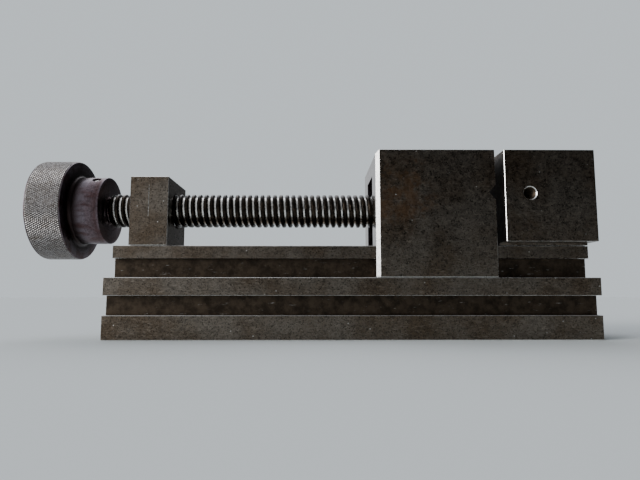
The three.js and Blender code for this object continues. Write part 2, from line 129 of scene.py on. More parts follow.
class ViseSizes(bpy.types.PropertyGroup):
    """Sizes of the vise that its frame's boxes don't give"""
    flange_top: length("Flange top", "Height of the bottom flange", 10.5 * MM)
    groove_top: length("Groove top", "Height where the clamping groove ends", 19 * MM)
    groove_depth: length("Groove depth", "Depth of the clamping groove in each side", 4.5 * MM)
    ledge_top: length("Ledge top", "Height of the ledge the moving jaw slides over", 26.8 * MM)
    neck_half_width: length("Neck half width", "Half the width of the rail's neck", 12.4 * MM)
    rail_underside: length("Rail underside", "Height of the rail flange's underside", 35.7 * MM)
    rail_half_width: length("Rail half width", "Half the width of the rail", NUT_HIGH.y)
    edge_break: length("Edge break", "Width of the small chamfer on each ground edge", 0.25 * MM)
    face_corner: length("Face corner", "Chamfer on the fixed jaw's face corners", 0.25 * MM)
    overhang_underside: length("Overhang underside", "Height of the fixed jaw's overhangs", 42.7 * MM)
    back_corner: length("Back corner", "Chamfer on the moving jaw's back corners", 1.65 * MM)
    v_groove_height: length("V groove height", "Mouth of the moving jaw's V groove", 6.6 * MM)
    v_groove_depth: length("V groove depth", "Depth of the moving jaw's V groove", 3 * MM)
    v_groove_z: length("V groove level", "Height of the V groove's middle", 64.5 * MM)
    slot_half_width: length("Slot half width", "Half the width of the moving jaw's slot", 10 * MM)
    slot_top: length("Slot top", "Height of the top of the moving jaw's slot", 75 * MM)
    slot_depth: length("Slot depth", "Depth of the moving jaw's slot", 14 * MM)
    stop_hole_radius: length("Stop hole radius", "Radius of the work stop's tapped hole", 3 * MM)
    stop_hole_from_face: length("Stop hole inset", "From the clamping face to the hole", 11.1 * MM)
    stop_hole_z: length("Stop hole level", "Height of the work stop's hole", 64.2 * MM)
    thread_radius: length("Thread radius", "Outer radius of the lead screw", 8 * MM)
    thread_root: length("Thread root", "Root radius of the lead screw", 6.5 * MM)
    thread_pitch: length("Thread pitch", "Pitch of the lead screw", 3 * MM)
    spigot_radius: length("Spigot radius", "Radius of the screw's end in the knob", 5.5 * MM)
    neck_radius: length("Screw neck radius", "Radius of the screw in its keeper", 5 * MM)
    knob_shoulder: length("Head width", "Length of the knob's knurled head", 16.1 * MM)
    hub_radius: length("Hub radius", "Radius of the knob's hub", 16 * MM)
    knurl_pitch: length("Knurl pitch", "Spacing of the knurl's ridges round the rim", 1.0 * MM)
    knurl_depth: length("Knurl depth", "Depth of the knurl", 0.3 * MM)
    turning_step: length("Turning step", "Spacing of the marks a lathe tool leaves", 0.35 * MM)


class ViseFinishes(bpy.types.PropertyGroup):
    """Colours of the vise's finishes"""
    ground: colour("Ground steel", "Tool steel darkened by age and oil", "776F65")
    patina: colour("Patina", "Brown film on the ground faces", "615446")
    rubbed: colour("Rubbed film", "Grains where the film on ground faces has thinned", "A89C8E")
    rust: colour("Rust stain", "Light rust in the worst of the stains", "5A4029")
    edge: colour("Worn edge", "Bright steel where an edge has been broken or rubbed", "EDEBE7")
    turned: colour("Turned steel", "Knob faces and hub", "857C84")
    heat: colour("Turned band", "Red-brown bands round the knob's hub", "573C3A")
    knurl: colour("Knurled steel", "Tops of the knurl", "B2AEAC")
    valley: colour("Knurl valley", "Between the points of the knurl", "4A4543")
    # The thread's two colours: crest is a dark film; flank is a painted highlight, a near-white line
    # in each gap of the thread.
    crest: colour("Thread crest", "Dark film on the crests of the thread", "1F1B18")
    flank: colour("Thread flank", "Flanks of the thread, rubbed bright by the nut", "FAF7F2")
    # This colour is real grime in the pits and on the turned faces, and also painted shade in the
    # grooves, the bores, between the jaws and in the corner by the knob's hub.
    grime_and_shade: colour("Grime", "Oil and dirt in the thread and the grooves", "1D1916")
    oxide: colour("Black oxide", "Cap screws", "34343A")
    hardened: colour("Hardened steel", "Dowels, pin, keeper and button", "B8B4AE")
    floor: colour("Floor", "Matt paper under and behind the vise", "D4D9D9")


def sizes():
    """The scene's vise sizes."""
    return bpy.context.scene.vise_sizes


def finishes():
    """The scene's vise colours."""
    return bpy.context.scene.vise_finishes


# ---------- materials ----------

def add_node(tree, kind, inputs=None, **settings):
    """Adds a node: inputs gives each socket a value or a link, and settings are its own fields."""
    made = tree.nodes.new(kind)
    for field, value in settings.items():
        setattr(made, field, value)
    for socket, value in (inputs or {}).items():
        if isinstance(value, bpy.types.NodeSocket):
            tree.links.new(value, made.inputs[socket])
        else:
            made.inputs[socket].default_value = value
    return made


def new_metal(name):
    """A material with a metal shader, and the shader, its node tree and a coordinate in mm."""
    material = bpy.data.materials.new(name)
    material.use_nodes = True
    tree = material.node_tree
    tree.nodes.clear()
    shader = add_node(tree, "ShaderNodeBsdfPrincipled", {"Metallic": 1.0})
    add_node(tree, "ShaderNodeOutputMaterial", {"Surface": shader.outputs["BSDF"]})
    place = add_node(tree, "ShaderNodeTexCoord").outputs["Object"]
    in_mm = add_node(tree, "ShaderNodeVectorMath", {0: place, "Scale": 1 / MM}, operation="SCALE")
    return material, shader, tree, in_mm.outputs["Vector"]


def noise(tree, at, size_mm, detail=3.0, rough=0.6, stretch=(1, 1, 1)):
    """The value of a noise whose blotches are size_mm across, drawn out along the larger stretches."""
    scaled = add_node(tree, "ShaderNodeVectorMath",
                      {0: at, 1: [1 / (size_mm * s) for s in stretch]}, operation="MULTIPLY")
    return add_node(tree, "ShaderNodeTexNoise",
                    {"Vector": scaled.outputs["Vector"], "Scale": 1.0, "Detail": detail,
                     "Roughness": rough}).outputs["Fac"]


def between(tree, value, low, high, to_low=0.0, to_high=1.0):
    """value, taken smoothly from the range low to high to the range to_low to to_high."""
    return add_node(tree, "ShaderNodeMapRange",
                    {"Value": value, "From Min": low, "From Max": high,
                     "To Min": to_low, "To Max": to_high},
                    interpolation_type="SMOOTHSTEP").outputs["Result"]


def combine(tree, operation, first, second):
    """Two values put together by a math operation."""
    return add_node(tree, "ShaderNodeMath", {0: first, 1: second}, operation=operation).outputs[0]


def blend_colours(tree, share, first, second):
    """first where share is 0, second where it is 1."""
    return add_node(tree, "ShaderNodeMix", {0: share, 6: first, 7: second},
                    data_type="RGBA").outputs[2]


def axis_distance(tree, at):
    """Distance from the screw's axis, in mm."""
    parts = add_node(tree, "ShaderNodeSeparateXYZ", {0: at})
    height = combine(tree, "SUBTRACT", parts.outputs["Z"], SCREW_AXIS_Z / MM)
    across = combine(tree, "MULTIPLY", parts.outputs["Y"], parts.outputs["Y"])
    up = combine(tree, "MULTIPLY", height, height)
    return combine(tree, "SQRT", combine(tree, "ADD", across, up), 0.0)


def ground_tool_steel(stain_at=None):
    """Hardened tool steel, surface ground, then darkened by years of oil and handling.
    To the eye: a warm dark grey with a soft sheen, faint straight grinding lines along the rail,
    brown clouds a few cm wide, and fine pepper-like pitting."""
    name = "ground_tool_steel" if stain_at is None else "ground_tool_steel_stained"
    material, shader, tree, at = new_metal(name)
    colours = finishes()
    cloud = between(tree, noise(tree, at, 22, 4, 0.6), 0.36, 0.70)
    base = blend_colours(tree, cloud, list(colours.ground), list(colours.patina))
    # Pits are 0.2 to 0.5 mm across.
    pepper = between(tree, noise(tree, at, 0.55, 3, 0.7), 0.36, 0.52, 0.8, 0.0)
    grains = between(tree, noise(tree, at, 1.6, 4, 0.75, stretch=(2, 1, 1)), 0.34, 0.58, 0.4, 0.0)
    dark = combine(tree, "MAXIMUM", pepper, grains)
    base = blend_colours(tree, dark, base, list(colours.grime_and_shade))
    rubbed = between(tree, noise(tree, at, 0.6, 4, 0.75, stretch=(3, 1, 1)), 0.52, 0.70, 0.0, 0.4)
    base = blend_colours(tree, rubbed, base, list(colours.rubbed))
    rust = between(tree, noise(tree, at, 9, 6, 0.75), 0.60, 0.80, 0.0, 0.35)
    if stain_at is not None:
        away = add_node(tree, "ShaderNodeVectorMath", {0: at, 1: [c / MM for c in stain_at]},
                        operation="DISTANCE").outputs["Value"]
        ragged = combine(tree, "MULTIPLY", noise(tree, at, 7, 6, 0.75), 70.0)
        rust = combine(tree, "MAXIMUM", rust,
                       between(tree, combine(tree, "ADD", away, ragged), 36.0, 54.0, 0.7, 0.0))
    base = blend_colours(tree, rust, base, list(colours.rust))
    # Single bright grains where the film has chipped, about 0.4 mm, one in a few square cm.
    cells = add_node(tree, "ShaderNodeTexVoronoi", {"Vector": at, "Scale": 0.42})
    lone = add_node(tree, "ShaderNodeSeparateColor", {0: cells.outputs["Color"]}).outputs[0]
    grain = combine(tree, "MULTIPLY", between(tree, cells.outputs["Distance"], 0.05, 0.13, 1, 0),
                    between(tree, lone, 0.88, 0.92))
    base = blend_colours(tree, grain, base, list(colours.edge))
    tree.links.new(base, shader.inputs["Base Color"])
    rough = between(tree, noise(tree, at, 2.2, 4, 0.7), 0.3, 0.7, 0.25, 0.38)
    tree.links.new(combine(tree, "ADD", rough, combine(tree, "MULTIPLY", rust, 0.15)),
                   shader.inputs["Roughness"])
    # Grinding lines are about 0.1 mm apart, drawn 0.3 mm apart so that they show.
    lines = noise(tree, at, 0.3, 2, 0.5, stretch=(60, 1, 1))
    pits = between(tree, noise(tree, at, 0.6, 3, 0.7), 0.30, 0.48)
    height = combine(tree, "ADD", combine(tree, "MULTIPLY", lines, 0.9), pits)
    bump = add_node(tree, "ShaderNodeBump",
                    {"Strength": 0.25, "Distance": 0.05 * MM, "Height": height})
    tree.links.new(bump.outputs["Normal"], shader.inputs["Normal"])
    return material


def painted_shade_steel():
    """The same steel, drawn nearly black-brown as painted shade where shade falls: in the milled
    grooves, the bores and between the jaws.
    To the eye: nearly black-brown, duller than the ground faces, with a few paler scuffs."""
    material, shader, tree, at = new_metal("painted_shade_steel")
    colours = finishes()
    # Painted shade: patina darkened towards grime all over these faces; the scuffs below are real
    # wear.
    film = between(tree, noise(tree, at, 5, 5, 0.7), 0.36, 0.66, 0.45, 0.85)
    base = blend_colours(tree, film, list(colours.patina), list(colours.grime_and_shade))
    scuffs = between(tree, noise(tree, at, 0.7, 3, 0.7, stretch=(6, 1, 1)), 0.64, 0.78, 0.0, 0.4)
    tree.links.new(blend_colours(tree, scuffs, base, list(colours.edge)),
                   shader.inputs["Base Color"])
    tree.links.new(between(tree, noise(tree, at, 1.4), 0.3, 0.7, 0.42, 0.58),
                   shader.inputs["Roughness"])
    return material


def lapped_steel():
    """The same steel, lapped flat and kept bright by a wipe of oil.
    To the eye: a near-mirror that shows the pale surroundings, dulled by a brown haze."""
    material, shader, tree, at = new_metal("lapped_steel")
    colours = finishes()
    haze = between(tree, noise(tree, at, 3, 4, 0.7), 0.35, 0.70, 0.45, 0.9)
    tree.links.new(blend_colours(tree, haze, list(colours.hardened), list(colours.patina)),
                   shader.inputs["Base Color"])
    tree.links.new(between(tree, noise(tree, at, 1.2), 0.3, 0.7, 0.10, 0.20),
                   shader.inputs["Roughness"])
    return material


def worn_edge_steel():
    """The same steel where an edge has been broken with a stone and rubbed by use.
    To the eye: a thin line of bright, almost white metal that catches every light."""
    material, shader, tree, at = new_metal("worn_edge_steel")
    colours = finishes()
    nicks = between(tree, noise(tree, at, 0.8, 4, 0.7), 0.30, 0.44, 0.7, 0.0)
    tree.links.new(blend_colours(tree, nicks, list(colours.edge), list(colours.ground)),
                   shader.inputs["Base Color"])
    tree.links.new(between(tree, noise(tree, at, 1.5), 0.3, 0.7, 0.22, 0.38),
                   shader.inputs["Roughness"])
    return material


def turned_steel():
    """Free-cutting steel, turned on a lathe with a fine feed, and left to darken.
    To the eye: a smooth grey with rings round the axis, a brown cast in bands, and painted shade in
    the corner by the knob's hub."""
    material, shader, tree, at = new_metal("turned_steel")
    colours = finishes()
    parts = add_node(tree, "ShaderNodeSeparateXYZ", {0: at})
    step = sizes().turning_step / MM
    # The tool's mark repeats along the hub and out across the faces, so both are rings.
    feed = combine(tree, "ADD", parts.outputs["X"], axis_distance(tree, at))
    along = add_node(tree, "ShaderNodeCombineXYZ", {0: feed}).outputs[0]
    rings = noise(tree, along, step, 2, 0.6)
    bands = between(tree, noise(tree, along, 5, 3, 0.6), 0.35, 0.65)
    clouds = between(tree, noise(tree, at, 7, 4, 0.6, stretch=(3, 1, 1)), 0.40, 0.62)
    film = between(tree, noise(tree, at, 1.1, 4, 0.75), 0.35, 0.65, 0.0, 0.5)
    stain = combine(tree, "MULTIPLY", combine(tree, "MAXIMUM", bands, clouds), 0.85)
    base = blend_colours(tree, stain, list(colours.turned), list(colours.heat))
    # Painted shade: darker towards the corner between the knob's head and its hub.
    outward = combine(tree, "SUBTRACT", axis_distance(tree, at), sizes().hub_radius / MM)
    beyond = combine(tree, "SUBTRACT", parts.outputs["X"],
                     (KNOB_LOW.x + sizes().knob_shoulder) / MM)
    corner = combine(tree, "SQRT", combine(tree, "ADD", combine(tree, "MULTIPLY", outward, outward),
                                           combine(tree, "MULTIPLY", beyond, beyond)), 0.0)
    film = combine(tree, "MAXIMUM", film, between(tree, corner, 1.0, 9.0, 0.85, 0.0))
    base = blend_colours(tree, film, base, list(colours.grime_and_shade))
    tree.links.new(base, shader.inputs["Base Color"])
    tree.links.new(between(tree, rings, 0.3, 0.7, 0.26, 0.42), shader.inputs["Roughness"])
    # The rings spread each highlight across themselves, as a fan on a face.
    shader.inputs["Anisotropic"].default_value = 0.7
    round_axis = add_node(tree, "ShaderNodeTangent", direction_type="RADIAL", axis="X")
    tree.links.new(round_axis.outputs["Tangent"], shader.inputs["Tangent"])
    bump = add_node(tree, "ShaderNodeBump",
                    {"Strength": 0.5, "Distance": 0.06 * MM, "Height": rings})
    tree.links.new(bump.outputs["Normal"], shader.inputs["Normal"])
    return material


def two_tone_by_radius(name, low, high, start, end, roughness):
    """Steel about the screw's axis, of colour low inside the radius start and high beyond end."""
    material, shader, tree, at = new_metal(name)
    ragged = combine(tree, "ADD", axis_distance(tree, at),
                     combine(tree, "MULTIPLY", between(tree, noise(tree, at, 0.8, 3, 0.7), 0.3, 0.7,
                                                       -0.35, 0.35), end - start))
    base = blend_colours(tree, between(tree, ragged, start, end), list(low), list(high))
    film = between(tree, noise(tree, at, 4, 4, 0.7), 0.42, 0.68, 0.0, 0.3)
    base = blend_colours(tree, film, base, list(finishes().patina))
    tree.links.new(base, shader.inputs["Base Color"])
    tree.links.new(between(tree, noise(tree, at, 0.9), 0.3, 0.7, roughness - 0.06,
                           roughness + 0.08), shader.inputs["Roughness"])
    return material


def thread_steel_with_painted_highlight():
    """Machinery steel with a cut trapezoidal thread, oiled.
    To the eye: near-black rounded crests of dark film, with a thin bright line in every gap that is a
    painted highlight."""
    size = sizes()
    top, depth = size.thread_radius / MM, (size.thread_radius - size.thread_root) / MM
    # The near-white colour at the root and lower flanks is a painted highlight; the dark crest colour
    # is a film.
    return two_tone_by_radius("thread_steel_with_painted_highlight", finishes().flank, finishes().crest,
                              top - 1.0 * depth, top - 0.62 * depth, 0.28)


def knurled_steel():
    """Steel rolled between knurling wheels: diamonds about a millimetre across.
    To the eye: a light, sparkling grey that breaks up every reflection, dark between the points."""
    top, depth = KNOB_HIGH.y / MM, sizes().knurl_depth / MM
    return two_tone_by_radius("knurled_steel", finishes().valley, finishes().knurl,
                              top - 0.95 * depth, top - 0.15 * depth, 0.42)


def black_oxide_steel():
    """Alloy steel screws, hardened, with a black oxide finish.
    To the eye: a satin blue-black that shows bare metal only where a key has rubbed."""
    material, shader, tree, at = new_metal("black_oxide_steel")
    colours = finishes()
    rubbed = between(tree, noise(tree, at, 1.3, 4, 0.7), 0.56, 0.74, 0.0, 0.6)
    tree.links.new(blend_colours(tree, rubbed, list(colours.oxide), list(colours.hardened)),
                   shader.inputs["Base Color"])
    tree.links.new(between(tree, noise(tree, at, 0.8), 0.3, 0.7, 0.34, 0.5),
                   shader.inputs["Roughness"])
    return material


def hardened_ground_steel():
    """Silver steel, hardened and ground round.
    To the eye: clean bright grey with a tight, smooth highlight."""
    material, shader, tree, at = new_metal("hardened_ground_steel")
    colours = finishes()
    film = between(tree, noise(tree, at, 1.6, 4, 0.7), 0.42, 0.7, 0.0, 0.55)
    tree.links.new(blend_colours(tree, film, list(colours.hardened), list(colours.patina)),
                   shader.inputs["Base Color"])
    tree.links.new(between(tree, noise(tree, at, 0.7), 0.3, 0.7, 0.16, 0.28),
                   shader.inputs["Roughness"])
    return material


def finish(recipe, *extra):
    """The material that a recipe makes, made once and then shared."""
    key = recipe.__name__ + ("_" + extra[0] if extra else "")
    if key not in MADE:
        MADE[key] = recipe(*extra[1:])
    return MADE[key]


# ---------- mesh helpers ----------

def link_piece(name, bm, *materials):
    """Turns a bmesh into an object with these material slots."""
    bmesh.ops.remove_doubles(bm, verts=bm.verts, dist=WELD)
    bmesh.ops.recalc_face_normals(bm, faces=bm.faces)
    mesh = bpy.data.meshes.new(name)
    bm.to_mesh(mesh)
    bm.free()
    for material in materials:
        mesh.materials.append(material)
    piece = bpy.data.objects.new(name, mesh)
    bpy.context.scene.collection.objects.link(piece)
    return piece


def prism(outline, start, end, axis="X"):
    """A bar along an axis. The outline's points are in the other two axes, in X, Y, Z order."""
    spots = {"X": lambda a, b: (start, a, b), "Y": lambda a, b: (a, start, b),
             "Z": lambda a, b: (a, b, start)}[axis]
    step = (end - start) * Vector([float(axis == name) for name in "XYZ"])
    bm = bmesh.new()
    face = bm.faces.new([bm.verts.new(spots(a, b)) for a, b in outline])
    grown = bmesh.ops.extrude_face_region(bm, geom=[face])["geom"]
    moved = [part for part in grown if isinstance(part, bmesh.types.BMVert)]
    bmesh.ops.translate(bm, vec=step, verts=moved)
    bmesh.ops.recalc_face_normals(bm, faces=bm.faces)
    return bm


def outer_edges(bm, wanted=lambda edge: True):
    """The convex corners of a bmesh that pass a test."""
    return [edge for edge in bm.edges
            if len(edge.link_faces) == 2 and edge.is_convex
            and edge.calc_face_angle() > SHARP_ANGLE and wanted(edge)]


def fresh_edges(bm):
    """The convex corners that no chamfer touches yet."""
    return outer_edges(bm, lambda edge: EDGES not in [f.material_index for f in edge.link_faces])


def chamfer(bm, edges, width):
    """Breaks edges with one flat, which takes the bright edge material."""
    bmesh.ops.bevel(bm, geom=edges, offset=width, offset_type="WIDTH", segments=1,
                    affect="EDGES", material=EDGES, clamp_overlap=True)


def lathe(profile, sides=96, centre=(0.0, 0.0)):
    """A turned piece from (x, radius) points, about an axis along X through (y, z) = centre."""
    bm = bmesh.new()
    rings = []
    for x, radius in profile:
        count = sides if radius > 0 else 1
        angles = [2 * math.pi * i / sides for i in range(count)]
        rings.append([bm.verts.new((x, centre[0] + radius * math.cos(a),
                                    centre[1] + radius * math.sin(a))) for a in angles])
    for near, far in zip(rings, rings[1:]):
        for i in range(sides):
            j = i + 1
            corners = [near[i % len(near)], near[j % len(near)],
                       far[j % len(far)], far[i % len(far)]]
            bm.faces.new(dict.fromkeys(corners))
    bmesh.ops.recalc_face_normals(bm, faces=bm.faces)
    return bm


def rounded(x, radius, size, inward, steps=4):
    """Points of a quarter round that ends a turned face at x. inward is +1 or -1 along X."""
    turn = [math.pi / 2 * i / steps for i in range(steps + 1)]
    return [(x + inward * size * (1 - math.sin(a)), radius - size * (1 - math.cos(a)))
            for a in turn]


def thread(start, end, crest, root, pitch, end_radius, sides=72):
    """A right-hand trapezoidal thread along X, open at both ends, where it slopes down at 45 degrees
    to end_radius. Every point is set forward by its angle's share of the pitch, so the last step of
    each ring meets the ring that is one pitch on. Points past an end are drawn back to its rim."""
    flank = (1 - CREST_SHARE - ROOT_SHARE) / 2
    rounding = [(0.70, 0.30), (1.00, 0.10), (1.35, 0.0)]
    shares = [(0.0, root), (ROOT_SHARE, root)]
    shares += [(ROOT_SHARE + a * flank, crest - b * (crest - root)) for a, b in rounding]
    shares += [(1 - a * flank, crest - b * (crest - root)) for a, b in reversed(rounding)]
    per_turn = len(shares)
    turns = math.ceil((end - start) / pitch) + 3
    first = start - 1.5 * pitch
    angles = [2 * math.pi * i / sides for i in range(sides)]
    bm = bmesh.new()
    rings = []
    for number in range(turns * per_turn):
        share, radius = shares[number % per_turn]
        ring = []
        for i, angle in enumerate(angles):
            x = first + (number // per_turn + share + i / sides) * pitch
            sloped = end_radius + max(0.0, min(x - start, end - x))
            r = min(radius, sloped)
            ring.append(bm.verts.new((min(max(x, start), end), r * math.cos(angle),
                                      r * math.sin(angle))))
        rings.append(ring)
    for number, (near, far) in enumerate(zip(rings, rings[1:])):
        for i in range(sides - 1):
            bm.faces.new((near[i], near[i + 1], far[i + 1], far[i]))
        if number + 1 + per_turn < len(rings):
            bm.faces.new((near[-1], rings[number + per_turn][0],
                          rings[number + 1 + per_turn][0], far[-1]))
    bmesh.ops.remove_doubles(bm, verts=bm.verts, dist=WELD)
    return bm


def weld(*parts):
    """Joins bmeshes that share rims into one skin, in the first of them."""
    whole = parts[0]
    for part in parts[1:]:
        carrier = bpy.data.meshes.new("carrier")
        part.to_mesh(carrier)
        part.free()
        whole.from_mesh(carrier)
        bpy.data.meshes.remove(carrier)
    bmesh.ops.remove_doubles(whole, verts=whole.verts, dist=WELD)
    bmesh.ops.recalc_face_normals(whole, faces=whole.faces)
    return whole


def rod(radius, start, end, sides=48):
    """A plain rod between two points, as a bmesh."""
    along = Vector(end) - Vector(start)
    bm = lathe([(0, 0), (0, radius), (along.length, radius), (along.length, 0)], sides)
    turn = Vector((1, 0, 0)).rotation_difference(along.normalized()).to_matrix().to_4x4()
    bmesh.ops.transform(bm, matrix=Matrix.Translation(start) @ turn, verts=bm.verts)
    return bm


def cut_away(piece, *tools):
    """Cuts bmeshes out of a piece. Each tool is (bmesh, material) and is used up. The exact solver
    needs a closed skin, so a cut that leaves an open edge raises an error."""
    for bm, material in tools:
        tool = link_piece("tool", bm, material)
        modifier = piece.modifiers.new("tool", "BOOLEAN")
        modifier.operation = "DIFFERENCE"
        modifier.solver = "EXACT"
        modifier.material_mode = "TRANSFER"
        modifier.object = tool
        made = bpy.data.meshes.new_from_object(
            piece.evaluated_get(bpy.context.evaluated_depsgraph_get()))
        piece.modifiers.clear()
        old, piece.data = piece.data, made
        bpy.data.meshes.remove(old)
        bpy.data.objects.remove(tool)
        cut = bmesh.new()
        cut.from_mesh(made)
        open_edges = sum(not edge.is_manifold for edge in cut.edges)
        cut.free()
        if open_edges:
            raise RuntimeError(f"{piece.name} has {open_edges} open edges after a cut")


def finish_piece(piece, body, slot, *nodes):
    """Smooths the round faces, keeps the corners crisp, and ties the piece to the frame."""
    mesh = piece.data
    mesh.name = piece.name
    mesh.polygons.foreach_set("use_smooth", [True] * len(mesh.polygons))
    mesh.set_sharp_from_angle(angle=SHARP_ANGLE)
    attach(piece, body)
    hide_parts(*nodes)


def mirrored(half):
    """An outline of (y, z) points on the +Y side, closed by its mirror image."""
    return half + [(-y, z) for y, z in reversed(half)]


# ---------- operators: the pieces ----------

class VISE_OT_base(bpy.types.Operator):
    """Base with its flanges, clamping grooves, neck and T rail"""
    bl_idname = "vise.base"
    bl_label = "Base"

    def execute(self, context):
        size = sizes()
        width = HALF_WIDTH
        outline = mirrored([
            (width, 0), (width, size.flange_top),
            (width - size.groove_depth, size.flange_top),
            (width - size.groove_depth, size.groove_top),
            (width, size.groove_top), (width, size.ledge_top),
            (size.neck_half_width, size.ledge_top), (size.neck_half_width, size.rail_underside),
            (size.rail_half_width, size.rail_underside), (size.rail_half_width, RAIL_TOP),
        ])
        bm = prism(outline, BASE_LOW.x, BASE_HIGH.x)
        chamfer(bm, outer_edges(bm), size.edge_break)
        # The groove floors and the neck take painted shade.
        for face in bm.faces:
            inset = width - abs(face.calc_center_median().y)
            if abs(face.normal.y) > 0.9 and inset > 0.9 * size.groove_depth:
                on_rail = face.calc_center_median().z > size.rail_underside
                face.material_index = FACES if on_rail else OTHERS
        piece = link_piece("base_body", bm, finish(ground_tool_steel), finish(worn_edge_steel),
                           finish(painted_shade_steel))
        cuts = []
        for name in CAP_SCREWS:
            low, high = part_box(name)
            x, y = (low.x + high.x) / 2, (low.y + high.y) / 2
            head = (high.x - low.x) / 2 + HEAD_ROOM
            step, top = SCREW_HEAD_TOP + GAP, RAIL_TOP + OVERCUT
            mouth = lathe([(-OVERCUT, 0), (-OVERCUT, head + 1.4 * MM), (0.4 * MM, head),
                           (step, head), (step, SHANK_BORE), (top, SHANK_BORE), (top, 0)], 48)
            stand_up(mouth, x, y)
            cuts.append((mouth, finish(turned_steel)))
        cut_away(piece, *cuts)
        finish_piece(piece, "vise_base", "ground_steel", "base")
        return {"FINISHED"}


def stand_up(bm, x, y):
    """Turns a bmesh that was made along X so that it stands along Z at (x, y)."""
    turn = Matrix.Rotation(-math.pi / 2, 4, "Y")
    bmesh.ops.transform(bm, matrix=Matrix.Translation((x, y, 0)) @ turn, verts=bm.verts)


class VISE_OT_nut_block(bpy.types.Operator):
    """Nut block that the lead screw runs through"""
    bl_idname = "vise.nut_block"
    bl_label = "Nut Block"

    def execute(self, context):
        size = sizes()
        half = NUT_HIGH.y
        outline = mirrored([(half, NUT_LOW.z), (half, NUT_HIGH.z)])
        bm = prism(outline, NUT_LOW.x, NUT_HIGH.x)
        chamfer(bm, outer_edges(bm), size.edge_break)
        piece = link_piece("nut_block_body", bm, finish(ground_tool_steel),
                           finish(worn_edge_steel))
        bore = size.thread_radius + GAP
        mouth = bore + BORE_FLARE + OVERCUT
        hole = lathe([(NUT_LOW.x - OVERCUT, 0), (NUT_LOW.x - OVERCUT, mouth),
                      (NUT_LOW.x + BORE_FLARE, bore), (NUT_HIGH.x - BORE_FLARE, bore),
                      (NUT_HIGH.x + OVERCUT, mouth), (NUT_HIGH.x + OVERCUT, 0)],
                     96, (0, SCREW_AXIS_Z))
        # One old scriber mark down the near face.
        mark_x = (NUT_LOW.x + NUT_HIGH.x) / 2 - 0.2 * MM
        mark = prism([(mark_x - 0.16 * MM, -half - 0.02 * MM), (mark_x, -half + 0.14 * MM),
                      (mark_x + 0.16 * MM, -half - 0.02 * MM)],
                     NUT_HIGH.z - 18.5 * MM, NUT_HIGH.z - 4 * MM, "Z")
        # The bore takes painted shade.
        cut_away(piece, (hole, finish(painted_shade_steel)), (mark, finish(worn_edge_steel)))
        finish_piece(piece, "vise_base", "ground_steel", "nut_block")
        return {"FINISHED"}


class VISE_OT_fixed_jaw(bpy.types.Operator):
    """Fixed jaw with the tapped hole for a work stop"""
    bl_idname = "vise.fixed_jaw"
    bl_label = "Fixed Jaw"

    def execute(self, context):
        size = sizes()
        outline = mirrored([
            (size.rail_half_width, FIXED_LOW.z), (size.rail_half_width, size.overhang_underside),
            (HALF_WIDTH, size.overhang_underside), (HALF_WIDTH, FIXED_HIGH.z),
        ])
        bm = prism(outline, FIXED_LOW.x, FIXED_HIGH.x)
        corners = outer_edges(bm, lambda edge: all(
            abs(v.co.x - FIXED_LOW.x) < 1e-6 and abs(abs(v.co.y) - HALF_WIDTH) < 1e-6
            for v in edge.verts))
        chamfer(bm, corners, size.face_corner)
        chamfer(bm, fresh_edges(bm), size.edge_break)
        # The clamping face takes painted shade.
        for face in bm.faces:
            if face.normal.x < -0.9:
                face.material_index = OTHERS
        piece = link_piece("fixed_jaw_body", bm, finish(ground_tool_steel),
                           finish(worn_edge_steel), finish(painted_shade_steel))
        radius, depth = size.stop_hole_radius, STOP_HOLE_DEPTH
        bore, pitch = radius - 0.6 * MM, MM
        # The fine thread is drawn as rings.
        turns = range(int(depth / pitch))
        threads = [point for i in turns
                   for point in ((i * pitch, bore), ((i + 0.5) * pitch, radius))]
        hole = lathe([(-2 * MM, 0), (-2 * MM, bore), *threads, (depth, bore), (depth, 0)], 48)
        flare = radius + 0.15 * MM - bore
        mouth = lathe([(-MM, 0), (-MM, bore + flare + MM), (flare, bore), (flare, 0)], 48)
        x = FIXED_LOW.x + size.stop_hole_from_face
        for bm in (hole, mouth):
            turn = Matrix.Rotation(math.pi / 2, 4, "Z")
            bmesh.ops.transform(bm, verts=bm.verts, matrix=Matrix.Translation(
                (x, -HALF_WIDTH, size.stop_hole_z)) @ turn)
        # The stop hole's bore takes painted shade; its mouth is a worn edge.
        cut_away(piece, (hole, finish(painted_shade_steel)), (mouth, finish(worn_edge_steel)))
        finish_piece(piece, "vise_base", "ground_steel", "fixed_jaw")
        return {"FINISHED"}


